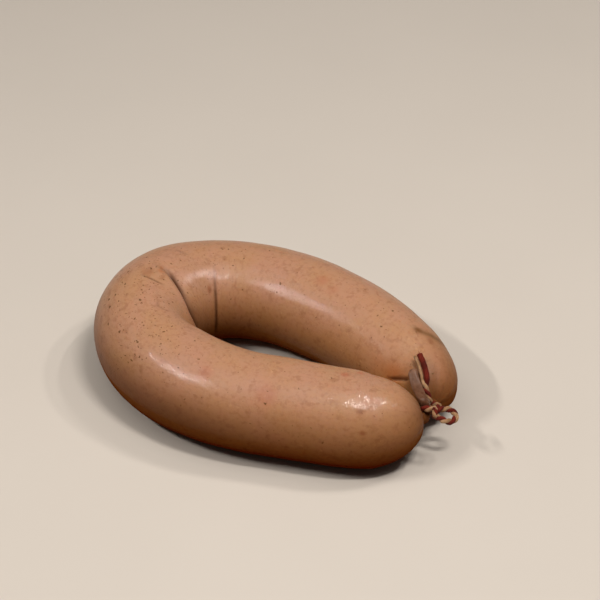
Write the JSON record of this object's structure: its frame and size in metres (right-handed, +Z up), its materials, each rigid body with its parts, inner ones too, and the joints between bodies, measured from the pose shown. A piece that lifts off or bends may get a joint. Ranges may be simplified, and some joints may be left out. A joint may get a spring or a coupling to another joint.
{
  "type": "ring sausage",
  "caption": "Filled natural-casing sausage bent into a closed ring, its two ends tied together with twine that leaves a hanging loop.",
  "frame": {"origin": "middle of the bounding box, on the surface that the ring lies on", "axes": "+Z up, +X along the ring's long side towards the tied ends, +Y towards the rear arm"},
  "size_m": [0.1509, 0.1242, 0.0435],
  "materials": {
    "casing": "moist satin, pinkish tan",
    "twine": "twisted, one dark red and one cream ply"
  },
  "bodies": {
    "root": {"sausage": "casing", "twine": "twine"}
  },
  "joints": []
}
